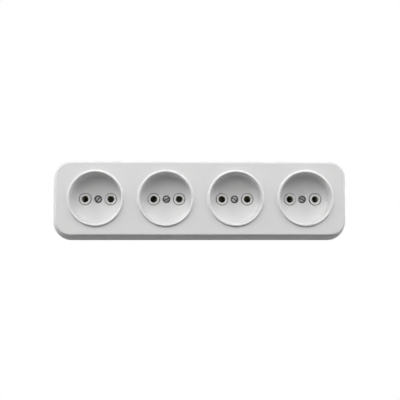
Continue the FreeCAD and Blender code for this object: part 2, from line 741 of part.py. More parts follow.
fill_sheet()
build_cover()
build_base()
build_ways()
build_bus("line_bus", 1)
build_bus("neutral_bus", -1)
build_terminal("line", 1)
build_terminal("neutral", -1)
check_and_write()
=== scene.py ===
"""Four-way surface socket: finishes, fasteners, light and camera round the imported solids."""
import json
import logging
import math
from dataclasses import dataclass, field
from enum import Enum
from typing import Sequence

import bmesh
import bpy
from mathutils import Matrix, Vector


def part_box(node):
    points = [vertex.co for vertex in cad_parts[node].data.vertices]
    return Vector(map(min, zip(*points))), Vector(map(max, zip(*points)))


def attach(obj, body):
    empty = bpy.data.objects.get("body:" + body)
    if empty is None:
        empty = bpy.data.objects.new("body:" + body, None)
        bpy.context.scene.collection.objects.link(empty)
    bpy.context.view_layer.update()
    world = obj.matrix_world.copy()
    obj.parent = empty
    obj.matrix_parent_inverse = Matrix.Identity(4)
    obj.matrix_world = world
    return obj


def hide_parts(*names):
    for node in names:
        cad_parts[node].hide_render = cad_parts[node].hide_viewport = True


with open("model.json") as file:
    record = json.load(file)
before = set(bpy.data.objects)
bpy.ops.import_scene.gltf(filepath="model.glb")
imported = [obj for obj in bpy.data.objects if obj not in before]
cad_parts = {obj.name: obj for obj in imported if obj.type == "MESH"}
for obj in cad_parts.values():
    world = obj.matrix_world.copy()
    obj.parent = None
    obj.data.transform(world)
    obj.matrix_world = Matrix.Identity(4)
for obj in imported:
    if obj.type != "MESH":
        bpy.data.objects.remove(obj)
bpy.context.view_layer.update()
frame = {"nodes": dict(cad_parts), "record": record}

Colour = tuple[float, float, float]
Point = tuple[float, float, float]
Socket = bpy.types.NodeSocket
Form = bmesh.types.BMesh

LOG = logging.getLogger("surface_socket")
BODY = "root"
MM = 0.001

# The mesh attribute that holds where a point of a fastener lies about the fastener's own axis.
LOCAL = "local"

ORIGIN: Point = (0.0, 0.0, 0.0)
UP: Point = (0.0, 0.0, 1.0)

BLACK: Colour = (0.0, 0.0, 0.0)
WHITE: Colour = (1.0, 1.0, 1.0)
DUST: Colour = (0.30, 0.29, 0.27)
# Colour of the painted shade in the gaps of the cover and at the bottom of the screw slots.
PAINTED_SHADE: Colour = (0.03, 0.03, 0.03)


# Node trees


@dataclass(frozen=True)
class Blotches:
    """A noise, and the part of its range that shows.

    Attributes:
        scale: Blotches per metre.
        detail: Octaves of finer noise.
        roughness: Strength of those octaves.
        low: The noise that counts as nought.
        high: The noise that counts as one.
        stretch: How much denser the blotches lie along each axis, if they aren't round.
    """

    MIDDLE = 0.5

    scale: float
    detail: float = 2.0
    roughness: float = 0.5
    low: float = 0.0
    high: float = 1.0
    stretch: Point | None = None


class Graph:
    """A node tree that is filled from its inputs to its outputs."""

    # The numbers of a Mix node's sockets when it mixes colours.
    MIX_FACTOR = 0
    MIX_FIRST = 6
    MIX_SECOND = 7
    MIX_RESULT = 2

    def __init__(self, tree: bpy.types.NodeTree) -> None:
        """Keep the node tree to fill."""
        self.tree = tree

    def add(
        self, kind: str, inputs: dict[str | int, object] | None = None, **settings: object
    ) -> bpy.types.Node:
        """Add a node and fill its inputs.

        Args:
            kind: The node's type, without the words that every shader node starts with.
            inputs: A value, or an output socket to link from, for each named or numbered input.
            **settings: The node's own settings.

        Returns:
            The new node.
        """
        node = self.tree.nodes.new(f"ShaderNode{kind}")
        for name, value in settings.items():
            setattr(node, name, value)
        for key, value in (inputs or {}).items():
            self.feed(node.inputs[key], value)
        return node

    def feed(self, socket: Socket, value: object) -> None:
        """Give an input its value.

        Args:
            socket: The input.
            value: A plain value, or an output socket to link from.
        """
        if isinstance(value, bpy.types.NodeSocket):
            self.tree.links.new(value, socket)
        elif socket.type == "RGBA":
            socket.default_value = (*value, 1.0)
        else:
            socket.default_value = value

    def math(self, operation: str, *values: object) -> Socket:
        """Work out a number from one to three others and return its socket."""
        return self.add("Math", dict(enumerate(values)), operation=operation).outputs[0]

    def mix(self, factor: object, first: object, second: object) -> Socket:
        """Mix two colours by a factor and return the socket of the result."""
        inputs = {self.MIX_FACTOR: factor, self.MIX_FIRST: first, self.MIX_SECOND: second}
        return self.add("Mix", inputs, data_type="RGBA").outputs[self.MIX_RESULT]

    def span(self, value: object, low: float, high: float, start: float = 0.0, end: float = 1.0) -> Socket:
        """Map a number.

        Args:
            value: The number or its socket.
            low: The number that becomes start.
            high: The number that becomes end.
            start: The first end of the result.
            end: Its other end.

        Returns:
            The socket of the mapped number, held between its ends.
        """
        inputs = {"Value": value, "From Min": low, "From Max": high, "To Min": start, "To Max": end}
        return self.add("MapRange", inputs).outputs[0]

    def noise(self, place: object, kind: Blotches) -> Socket:
        """A noise of soft blotches.

        Args:
            place: The socket of the place.
            kind: What the blotches are like.

        Returns:
            The socket of the noise, from 0 to 1.
        """
        if kind.stretch:
            place = self.add("Mapping", {"Vector": place, "Scale": kind.stretch}).outputs[0]
        inputs = {
            "Vector": place, "Scale": kind.scale, "Detail": kind.detail, "Roughness": kind.roughness}
        return self.add("TexNoise", inputs).outputs[0]

    def patches(self, place: object, kind: Blotches, start: float = 0.0, end: float = 1.0) -> Socket:
        """The part of a noise that shows.

        Args:
            place: The socket of the place.
            kind: What the blotches are like, and from where to where they show.
            start: The value where they don't show.
            end: The value where they show in full.

        Returns:
            The socket of the value.
        """
        return self.span(self.noise(place, kind), kind.low, kind.high, start, end)

    def radius(self, across: object, along: object) -> Socket:
        """The distance from an axis.

        Args:
            across: The socket of the distance from it one way.
            along: The socket of the distance from it the other way.

        Returns:
            The socket of the distance.
        """
        flat = self.add("CombineXYZ", {0: across, 1: along}).outputs[0]
        return self.add("VectorMath", {0: flat}, operation="LENGTH").outputs["Value"]

    def place(self) -> Socket:
        """The socket of the place on the piece, in metres."""
        return self.add("TexCoord").outputs["Object"]


class Effect:
    """A shader group that several finishes share, built when it is first placed."""

    NAME = ""
    INPUTS: dict[str, float | Colour] = {}
    OUTPUTS: dict[str, str] = {}

    _tree: bpy.types.NodeTree | None = None

    def __init__(self) -> None:
        """Start the group with its named inputs and outputs, and fill it."""
        self.tree = bpy.data.node_groups.new(self.NAME, "ShaderNodeTree")
        for name, value in self.INPUTS.items():
            kind = "NodeSocketColor" if isinstance(value, tuple) else "NodeSocketFloat"
            socket = self.tree.interface.new_socket(name, in_out="INPUT", socket_type=kind)
            socket.default_value = (*value, 1.0) if isinstance(value, tuple) else value
        for name, kind in self.OUTPUTS.items():
            self.tree.interface.new_socket(name, in_out="OUTPUT", socket_type=kind)
        self.graph = Graph(self.tree)
        self.given = self.tree.nodes.new("NodeGroupInput")
        self.result = self.tree.nodes.new("NodeGroupOutput")
        self.fill()

    def fill(self) -> None:
        """Fill the group."""
        raise NotImplementedError

    def take(self, name: str) -> Socket:
        """The socket of one of the group's inputs."""
        return self.given.outputs[name]

    def give(self, name: str, value: object) -> None:
        """Feed one of the group's outputs."""
        self.graph.feed(self.result.inputs[name], value)

    @classmethod
    def place(cls, graph: Graph, inputs: dict[str, object] | None = None) -> bpy.types.Node:
        """Place the group in a material.

        Args:
            graph: The material's graph.
            inputs: The group's values in this material, where they aren't its own.

        Returns:
            The group's node.
        """
        if cls._tree is None:
            cls._tree = cls().tree
        return graph.add("Group", inputs, node_tree=cls._tree)


class MouldedSkin(Effect):
    """The skin of a moulding: faint cloudiness, the fine grain of the mould and a few dull specks."""

    NAME = "moulded_skin"
    INPUTS = {"Colour": (0.8, 0.8, 0.8), "Cloud": 0.05, "Roughness": 0.4, "Speck": 0.1}
    OUTPUTS = {"Colour": "NodeSocketColor", "Roughness": "NodeSocketFloat", "Height": "NodeSocketFloat"}

    CLOUD = Blotches(scale=46.0, detail=3.0, roughness=0.55, low=0.32, high=0.68)
    GRAIN = Blotches(scale=1500.0, detail=3.0, roughness=0.6)
    RIPPLE = Blotches(scale=120.0, detail=1.0, stretch=(1.0, 1.0, 2.4))
    SPECK = Blotches(scale=620.0, detail=1.0, roughness=0.3, low=0.74, high=0.80)
    RIPPLE_HEIGHT = 2.0
    GRAIN_DULLS = 0.16
    CLOUD_DULLS = 0.05
    SPECK_DULLS = 0.12

    def fill(self) -> None:
        """Fill the group, which puts out a colour, a roughness and a height."""
        graph = self.graph
        place = graph.place()
        cloud = graph.patches(place, self.CLOUD)
        grain = graph.noise(place, self.GRAIN)
        ripple = graph.noise(place, self.RIPPLE)
        speck = graph.patches(place, self.SPECK)
        clouding = graph.math("MULTIPLY", cloud, self.take("Cloud"))
        darker = graph.mix(clouding, self.take("Colour"), BLACK)
        speckling = graph.math("MULTIPLY", speck, self.take("Speck"))
        self.give("Colour", graph.mix(speckling, darker, DUST))
        grained = graph.math("SUBTRACT", grain, Blotches.MIDDLE)
        rougher = graph.math("MULTIPLY_ADD", grained, self.GRAIN_DULLS, self.take("Roughness"))
        clouded = graph.math("MULTIPLY_ADD", cloud, self.CLOUD_DULLS, rougher)
        self.give("Roughness", graph.math("MULTIPLY_ADD", speck, self.SPECK_DULLS, clouded))
        self.give("Height", graph.math("MULTIPLY_ADD", ripple, self.RIPPLE_HEIGHT, grain))


class WornMetal(Effect):
    """The skin of metal: the marks of drawing or rolling, tarnish in patches and hairline scratches."""

    NAME = "worn_metal"
    INPUTS = {"Colour": (0.6, 0.6, 0.6), "Tarnish Colour": (0.3, 0.3, 0.3), "Tarnish": 0.5, "Roughness": 0.3}
    OUTPUTS = {"Colour": "NodeSocketColor", "Roughness": "NodeSocketFloat", "Height": "NodeSocketFloat"}

    PATCH = Blotches(scale=260.0, detail=4.0, roughness=0.62, low=0.42, high=0.70)
    STREAK = Blotches(
        scale=1.0, detail=3.0, roughness=0.6, low=0.3, high=0.7, stretch=(60.0, 2600.0, 2600.0))
    SCRATCH = Blotches(
        scale=1.0, detail=2.0, roughness=0.7, low=0.66, high=0.72, stretch=(2400.0, 150.0, 420.0))
    STREAK_SHADE = 0.14
    SCRATCH_SHINE = 0.25
    SCRATCH_DEPTH = 0.8
    PATCH_DULLS = 0.22
    STREAK_DULLS = 0.22
    SMOOTHEST = 0.12

    def fill(self) -> None:
        """Fill the group, which puts out a colour, a roughness and a height."""
        graph = self.graph
        place = graph.place()
        patch = graph.patches(place, self.PATCH)
        streak = graph.noise(place, self.STREAK)
        scratch = graph.patches(place, self.SCRATCH)
        tarnished = graph.math("MULTIPLY", patch, self.take("Tarnish"))
        toned = graph.mix(tarnished, self.take("Colour"), self.take("Tarnish Colour"))
        shade = graph.span(streak, self.STREAK.low, self.STREAK.high, 0.0, self.STREAK_SHADE)
        streaked = graph.mix(shade, toned, BLACK)
        shine = graph.math("MULTIPLY", scratch, self.SCRATCH_SHINE)
        self.give("Colour", graph.mix(shine, streaked, self.take("Colour")))
        dull = graph.math("MULTIPLY_ADD", patch, self.PATCH_DULLS, self.take("Roughness"))
        drawn = graph.math("SUBTRACT", streak, Blotches.MIDDLE)
        lined = graph.math("MULTIPLY_ADD", drawn, self.STREAK_DULLS, dull)
        self.give("Roughness", graph.math("MAXIMUM", lined, self.SMOOTHEST))
        scratched = graph.math("MULTIPLY", scratch, self.SCRATCH_DEPTH)
        self.give("Height", graph.math("SUBTRACT", streak, scratched))


class TurnedFace(Effect):
    """The marks of a lathe tool: rings about a fastener's own axis, which is the z of its attribute."""

    NAME = "turned_face"
    INPUTS = {"Rings": 9000.0, "Sunk Depth": 0.5 * MM}
    OUTPUTS = {"Height": "NodeSocketFloat", "Sunk": "NodeSocketFloat"}

    WOBBLE = Blotches(scale=900.0)
    WOBBLE_TURN = 3.0

    def fill(self) -> None:
        """Fill the group, which puts out a height and a mask of the deeper places."""
        graph = self.graph
        local = graph.add("Attribute", attribute_name=LOCAL).outputs["Vector"]
        across, along, height = graph.add("SeparateXYZ", {0: local}).outputs
        radius = graph.radius(across, along)
        wobble = graph.math("MULTIPLY", graph.noise(local, self.WOBBLE), self.WOBBLE_TURN)
        turn = graph.math("MULTIPLY_ADD", radius, self.take("Rings"), wobble)
        self.give("Height", graph.math("SINE", turn))
        depth = graph.math("MULTIPLY", height, -1.0)
        self.give("Sunk", graph.math("GREATER_THAN", depth, self.take("Sunk Depth")))


class PaintedGapShade(Effect):
    """Painted shade in the narrow gaps round the collars and round the heads of the cover screws, where
    shadow falls.
    """

    NAME = "painted_gap_shade"
    INPUTS = {"Pitch": 51 * MM, "Pin Reach": 9.5 * MM, "Collar Gap": 4.35 * MM, "Seat Gap": 2.62 * MM}
    OUTPUTS = {"Mask": "NodeSocketFloat"}

    COLLAR_RING = 0.22 * MM
    SEAT_RING = 0.30 * MM
    SOFT_EDGE = 0.15 * MM
    PATCH = Blotches(scale=700.0, low=0.25, high=0.6)
    THINNEST = 0.7
    PITCHES_TO_END = 2.0

    def fill(self) -> None:
        """Fill the group, which puts out a mask of painted shade in both kinds of ring, along the row of
        wells only.
        """
        graph = self.graph
        pitch = self.take("Pitch")
        along, _, height = graph.add("SeparateXYZ", {0: graph.place()}).outputs
        half = graph.math("MULTIPLY", pitch, 0.5)
        across = graph.math("SUBTRACT", graph.math("WRAP", along, pitch, 0.0), half)
        pin = graph.math("SUBTRACT", graph.math("ABSOLUTE", across), self.take("Pin Reach"))
        rings = [
            self.ring(graph.radius(side, height), gap, half_width)
            for side, gap, half_width in (
                (pin, "Collar Gap", self.COLLAR_RING), (across, "Seat Gap", self.SEAT_RING))
        ]
        reach = graph.math("MULTIPLY", pitch, self.PITCHES_TO_END)
        inside = graph.math("LESS_THAN", graph.math("ABSOLUTE", along), reach)
        patchy = graph.patches(graph.place(), self.PATCH, self.THINNEST, 1.0)
        mask = graph.math("MULTIPLY", graph.math("MAXIMUM", *rings), patchy)
        self.give("Mask", graph.math("MULTIPLY", mask, inside))

    def ring(self, radius: Socket, gap: str, half_width: float) -> Socket:
        """A soft-edged ring.

        Args:
            radius: The socket of the distance from its axis.
            gap: The group's input that says how far from the axis the ring lies.
            half_width: Half of its width, in metres.

        Returns:
            The socket of its mask.
        """
        off = self.graph.math("ABSOLUTE", self.graph.math("SUBTRACT", radius, self.take(gap)))
        return self.graph.span(off, half_width, half_width + self.SOFT_EDGE, 1.0, 0.0)


def new_material(name: str) -> tuple[bpy.types.Material, Graph, bpy.types.Node]:
    """Start a material.

    Args:
        name: The material's name.

    Returns:
        The material, its graph and its surface shader.
    """
    material = bpy.data.materials.new(name)
    material.use_nodes = True
    return material, Graph(material.node_tree), material.node_tree.nodes["Principled BSDF"]


# Finishes


@dataclass(frozen=True)
class MouldedPlastic:
    """A plastic as it comes out of its mould.

    Attributes:
        name: The material's name.
        colour: Its colour.
        roughness: How dull it is.
        cloud: Share by which the clouded places are darker.
        speck: Strength of the specks in it.
        grain: Height of the mould's grain, in millimetres.
        gap_shade: Strength of the painted shade in its gaps.
    """

    REFRACTION = 1.49

    name: str
    colour: Colour
    roughness: float
    cloud: float
    speck: float
    grain: float
    gap_shade: float = 0.0

    def material(self) -> bpy.types.Material:
        """Build the material.

        Returns:
            The material.
        """
        material, graph, surface = new_material(self.name)
        skin = MouldedSkin.place(graph, {
            "Colour": self.colour, "Cloud": self.cloud, "Roughness": self.roughness, "Speck": self.speck})
        relief = {"Strength": 1.0, "Distance": self.grain * MM, "Height": skin.outputs["Height"]}
        bump = graph.add("Bump", relief)
        colour = skin.outputs["Colour"]
        # Painted shade darkens the gaps round the collars and round the screw heads.
        if self.gap_shade:
            mask = PaintedGapShade.place(graph).outputs["Mask"]
            colour = graph.mix(graph.math("MULTIPLY", mask, self.gap_shade), colour, PAINTED_SHADE)
        graph.feed(surface.inputs["Base Color"], colour)
        graph.feed(surface.inputs["Roughness"], skin.outputs["Roughness"])
        graph.feed(surface.inputs["Normal"], bump.outputs["Normal"])
        surface.inputs["IOR"].default_value = self.REFRACTION
        return material


@dataclass(frozen=True)
class WorkedMetal:
    """A metal with the marks of its making.

    Attributes:
        name: The material's name.
        colour: Its clean colour.
        tarnish_colour: The colour of its duller patches.
        tarnish: How far those patches cover it.
        roughness: How dull it is.
        marks: Height of its marks, in millimetres.
        turned: Whether it carries a lathe's rings, and painted shade in its deeper places.
    """

    # Strength of the painted shade at the bottom of the slots.
    SUNK_SHADE = 0.85

    name: str
    colour: Colour
    tarnish_colour: Colour
    tarnish: float
    roughness: float
    marks: float
    turned: bool = False

    def material(self) -> bpy.types.Material:
        """Build the material.

        Returns:
            The material.
        """
        material, graph, surface = new_material(self.name)
        skin = WornMetal.place(graph, {
            "Colour": self.colour, "Tarnish Colour": self.tarnish_colour,
            "Tarnish": self.tarnish, "Roughness": self.roughness})
        colour = skin.outputs["Colour"]
        height = skin.outputs["Height"]
        if self.turned:
            rings = TurnedFace.place(graph)
            height = graph.math("ADD", height, rings.outputs["Height"])
            # Painted shade at the bottom of the slot, where shadow falls.
            shade = graph.math("MULTIPLY", rings.outputs["Sunk"], self.SUNK_SHADE)
            colour = graph.mix(shade, colour, PAINTED_SHADE)
        bump = graph.add("Bump", {"Strength": 1.0, "Distance": self.marks * MM, "Height": height})
        graph.feed(surface.inputs["Base Color"], colour)
        graph.feed(surface.inputs["Roughness"], skin.outputs["Roughness"])
        graph.feed(surface.inputs["Normal"], bump.outputs["Normal"])
        surface.inputs["Metallic"].default_value = 1.0
        return material


FINISHES = {
    finish.name: finish
    for finish in (
        # The plastics of the cover and the blocks carry painted shade in their gaps.
        MouldedPlastic(
            "cover_plastic", colour=(0.735, 0.735, 0.732), roughness=0.58,
            cloud=0.025, speck=0.05, grain=0.006, gap_shade=0.6),
        MouldedPlastic(
            "block_plastic", colour=(0.72, 0.72, 0.71), roughness=0.42,
            cloud=0.04, speck=0.10, grain=0.008, gap_shade=0.6),
        MouldedPlastic(
            "base_plastic", colour=(0.60, 0.60, 0.58), roughness=0.55,
            cloud=0.06, speck=0.15, grain=0.015),
        WorkedMetal(
            "brass", colour=(0.80, 0.70, 0.48), tarnish_colour=(0.42, 0.34, 0.22),
            tarnish=0.45, roughness=0.26, marks=0.002),
        WorkedMetal(
            "rivet_brass", colour=(0.72, 0.62, 0.42), tarnish_colour=(0.36, 0.29, 0.19),
            tarnish=0.6, roughness=0.34, marks=0.003),
        WorkedMetal(
            "spring_steel", colour=(0.46, 0.47, 0.49), tarnish_colour=(0.16, 0.16, 0.18),
            tarnish=0.5, roughness=0.30, marks=0.002),
        WorkedMetal(
            "screw_steel", colour=(0.30, 0.30, 0.30), tarnish_colour=(0.09, 0.09, 0.09),
            tarnish=0.75, roughness=0.40, marks=0.003, turned=True),
    )
}


class Wardrobe:
    """Makes each finish once and dresses nodes and pieces with it."""

    def __init__(self) -> None:
        """Start with no finish made."""
        self.made: dict[str, bpy.types.Material] = {}

    def finish(self, slot: str) -> bpy.types.Material:
        """The material of a slot of the record.

        Args:
            slot: The slot's name.

        Returns:
            The material, made when it is first asked for.
        """
        if slot not in self.made:
            self.made[slot] = FINISHES[slot].material()
        return self.made[slot]

    def dress_nodes(self) -> None:
        """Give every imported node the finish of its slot."""
        for row in frame["record"]["subparts"]:
            node = frame["nodes"][row["node"]]
            for slot in node.material_slots:
                slot.material = self.finish(row["material_slot"])
        LOG.info("dressed %d nodes", len(frame["nodes"]))


# Forms, which are built in millimetres


# Points nearer than this to each other are merged.
MERGE = 1e-4

# How far a form that cuts runs past what it cuts.
PAST = 1.0


class Cut(Enum):
    """How two closed forms are combined."""

    JOIN = "UNION"
    TAKE = "DIFFERENCE"
    KEEP = "INTERSECT"


def combined(first: Form, second: Form, cut: Cut) -> Form:
    """Combine two closed forms, which are used up.

    Args:
        first: The form that is kept.
        second: The form that is joined to it, taken from it or laid over it.
        cut: How they are combined.

    Returns:
        The new form.
    """
    objects = []
    for form in (first, second):
        mesh = bpy.data.meshes.new("form")
        form.to_mesh(mesh)
        form.free()
        objects.append(bpy.data.objects.new("form", mesh))
        bpy.context.scene.collection.objects.link(objects[-1])
    modifier = objects[0].modifiers.new("cut", "BOOLEAN")
    modifier.operation = cut.value
    modifier.solver = "EXACT"
    modifier.object = objects[1]
    result = bmesh.new()
    result.from_object(objects[0], bpy.context.evaluated_depsgraph_get())
    for item in objects:
        mesh = item.data
        bpy.data.objects.remove(item)
        bpy.data.meshes.remove(mesh)
    return result


def traced(
    form: Form, profile: Sequence[tuple[float, float]]
) -> list[bmesh.types.BMVert | bmesh.types.BMEdge]:
    """Trace a profile in a form that has nothing in it yet.

    Args:
        form: The form.
        profile: Radius and height of each of the profile's points.

    Returns:
        The profile's points and edges.
    """
    points = [form.verts.new((radius, 0.0, height)) for radius, height in profile]
    edges = [form.edges.new(pair) for pair in zip(points, points[1:])]
    return points + edges


def spun(profile: Sequence[tuple[float, float]], steps: int) -> Form:
    """Spin a profile that starts and ends on the axis.

    Args:
        profile: Radius and height of each of its points.
        steps: Steps of the full turn.

    Returns:
        A closed form about the z axis.
    """
    form = bmesh.new()
    bmesh.ops.spin(
        form, geom=traced(form, profile), cent=ORIGIN, axis=UP, angle=math.tau, steps=steps, use_merge=True)
    closed(form)
    return form


def closed(form: Form) -> None:
    """Merge a form's doubles, fill its open ends and turn its faces outwards.

    Args:
        form: The form.
    """
    bmesh.ops.remove_doubles(form, verts=form.verts, dist=MERGE)
    bmesh.ops.holes_fill(form, edges=[edge for edge in form.edges if edge.is_boundary], sides=0)
    bmesh.ops.recalc_face_normals(form, faces=form.faces)


def softened(form: Form, width: float, angle: float) -> None:
    """Bevel a form's sharp edges.

    Args:
        form: The form.
        width: Width of the bevel.
        angle: Turn in degrees from which an edge is sharp.
    """
    sharp = [edge for edge in form.edges if edge.calc_face_angle(0.0) > math.radians(angle)]
    bmesh.ops.bevel(
        form, geom=sharp, offset=width, offset_type="OFFSET", affect="EDGES", segments=2, profile=0.5,
        clamp_overlap=True, material=-1)


def turned(form: Form, degrees: float) -> None:
    """Turn a form about the z axis."""
    bmesh.ops.rotate(
        form, cent=ORIGIN, matrix=Matrix.Rotation(math.radians(degrees), 3, "Z"), verts=form.verts)


@dataclass(frozen=True)
class Thread:
    """A single-start thread, with its sizes in millimetres.

    Attributes:
        radius: Radius of the crests.
        pitch: Advance of one turn.
        root: Half of the flat at the root, as a share of the pitch.
        flank: Where the flank reaches the crest, as a share of the pitch.
        height_share: Height of the crests over the roots, as a share of the pitch.
        steps: Steps of one turn.
    """

    radius: float
    pitch: float
    root: float = 0.06
    flank: float = 0.44
    height_share: float = 0.54
    steps: int = 24

    @property
    def depth(self) -> float:
        """Height of the crests over the roots."""
        return self.height_share * self.pitch

    def rod(self, start: float, end: float, growth: float = 0.0) -> Form:
        """A threaded rod.

        Args:
            start: Height of its first end.
            end: Height of its other end.
            growth: How much larger its radius is, for the thread of a nut.

        Returns:
            A closed form about the z axis.
        """
        crest = self.radius + growth
        root = crest - self.depth
        below = (math.floor(start / self.pitch) - 1) * self.pitch
        turns = math.ceil((end - below) / self.pitch) + 1
        shares = (
            (root, self.root), (crest, self.flank), (crest, 1 - self.flank), (root, 1 - self.root),
            (root, 1 + self.root))
        form = bmesh.new()
        profile = traced(form, [(radius, below + share * self.pitch) for radius, share in shares])
        bmesh.ops.spin(
            form, geom=profile, cent=ORIGIN, axis=UP, dvec=(0.0, 0.0, self.pitch / self.steps),
            angle=math.tau * turns, steps=self.steps * turns, use_merge=False)
        bmesh.ops.remove_doubles(form, verts=form.verts, dist=MERGE)
        for height, side in ((start, -1), (end, 1)):
            bmesh.ops.bisect_plane(
                form, geom=[*form.verts, *form.edges, *form.faces], plane_co=(0.0, 0.0, height),
                plane_no=(0.0, 0.0, side), clear_outer=True)
        closed(form)
        return form


# Fasteners


@dataclass
class Fastener:
    """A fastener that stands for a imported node, with its sizes in millimetres.

    Its form is built about its own z axis, with the outer end at a height of nought.

    Attributes:
        node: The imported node.
        wardrobe: Where its finish comes from.
        slot: The record's slot of its finish.
        sharp_angle: Turn in degrees from which an edge is shaded as sharp.
        middle: Middle of its outer end, in metres.
        length: Its length.
        reach: Half of its width.
    """

    node: str
    wardrobe: Wardrobe
    slot: str = "screw_steel"
    sharp_angle: float = 32.0
    middle: Vector = field(init=False)
    length: float = field(init=False)
    reach: float = field(init=False)

    def __post_init__(self) -> None:
        """Read the place and the size of the node."""
        low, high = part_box(self.node)
        self.middle = Vector(((low.x + high.x) / 2, low.y, (low.z + high.z) / 2))
        self.length = (high.y - low.y) / MM
        self.reach = (high.x - low.x) / 2 / MM

    def form(self) -> Form:
        """The fastener's form, in millimetres about its own axis."""
        raise NotImplementedError

    def build(self) -> bpy.types.Object:
        """Build the fastener in its place.

        Returns:
            The fastener.
        """
        form = self.form()
        bmesh.ops.scale(form, vec=(MM, MM, MM), verts=form.verts)
        bmesh.ops.recalc_face_normals(form, faces=form.faces)
        mesh = bpy.data.meshes.new(f"turned_{self.node}")
        form.to_mesh(mesh)
        form.free()
        local = mesh.attributes.new(LOCAL, "FLOAT_VECTOR", "POINT")
        local.data.foreach_set("vector", [value for vertex in mesh.vertices for value in vertex.co])
        mesh.transform(Matrix.Translation(self.middle) @ Matrix.Rotation(math.radians(90), 4, "X"))
        mesh.materials.append(self.wardrobe.finish(self.slot))
        piece = bpy.data.objects.new(f"turned_{self.node}", mesh)
        bpy.context.scene.collection.objects.link(piece)
        mesh.set_sharp_from_angle(angle=math.radians(self.sharp_angle))
        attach(piece, BODY)
        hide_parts(self.node)
        LOG.info("built %s with %d faces", piece.name, len(mesh.polygons))
        return piece


@dataclass
class SlottedScrew(Fastener):
    """A screw with a rounded head and a straight slot.

    Attributes:
        thread: Its thread.
        head_height: Height of the head.
        rounding: Rounding of the head's edge.
        slot_width: Width of the slot.
        slot_depth: Depth of the slot.
        slot_angle: Turn of the slot in degrees, seen from the front.
        bevel: Width of the bevel on the head's other edges.
        bevel_angle: Turn in degrees from which an edge gets that bevel.
        overlap: How far the shank reaches into the head.
        tip_margin: How far the form that shapes the tip lies outside the thread's crests.
    """

    ROUNDING_STEPS = 6
    HEAD_STEPS = 64
    TIP_STEPS = 48

    thread: Thread = Thread(radius=1.5, pitch=0.5)
    head_height: float = 1.6
    rounding: float = 0.6
    slot_width: float = 0.8
    slot_depth: float = 0.9
    slot_angle: float = 0.0
    bevel: float = 0.06
    bevel_angle: float = 40.0
    overlap: float = 0.3
    tip_margin: float = 0.1

    def form(self) -> Form:
        """The screw's form.

        Returns:
            The head with its slot, and the threaded shank with its chamfered tip.
        """
        return combined(self.head(), combined(self.shank(), self.tip(), Cut.KEEP), Cut.JOIN)

    def head(self) -> Form:
        """The head.

        Returns:
            Its form, with the slot cut and the edges softened.
        """
        bend = [math.radians(90 * step / self.ROUNDING_STEPS) for step in range(self.ROUNDING_STEPS + 1)]
        edge = [
            (self.reach - self.rounding * (1 - math.sin(turn)), -self.rounding * (1 - math.cos(turn)))
            for turn in bend
        ]
        underside = [(self.reach, -self.head_height), (0.0, -self.head_height)]
        head = spun([(0.0, 0.0), *edge, *underside], self.HEAD_STEPS)
        groove = bmesh.new()
        bmesh.ops.create_cube(groove, size=1.0)
        # The groove's middle lies in the middle of the head's top, and both of its ends run out of the head.
        size = (3 * self.reach, self.slot_width, 2 * self.slot_depth)
        bmesh.ops.scale(groove, vec=size, verts=groove.verts)
        turned(groove, self.slot_angle)
        head = combined(head, groove, Cut.TAKE)
        bmesh.ops.dissolve_degenerate(head, edges=head.edges, dist=MERGE)
        softened(head, self.bevel, self.bevel_angle)
        return head

    def shank(self) -> Form:
        """The threaded shank, which reaches into the head."""
        return self.thread.rod(-self.length, -self.head_height + self.overlap)

    def tip(self) -> Form:
        """The form that the shank is kept to.

        Returns:
            A rod with a chamfer as deep as the thread at its lower end.
        """
        root = self.thread.radius - self.thread.depth
        outside = self.thread.radius + self.tip_margin
        shoulder = self.thread.depth + self.tip_margin - self.length
        profile = (
            (0.0, -self.length), (root, -self.length), (outside, shoulder), (outside, PAST), (0.0, PAST))
        return spun(profile, self.TIP_STEPS)


@dataclass
class TerminalScrew(SlottedScrew):
    """The larger screw that clamps a wire."""

    thread: Thread = Thread(radius=1.95, pitch=0.7)
    head_height: float = 2.4
    slot_width: float = 1.0
    slot_depth: float = 1.2


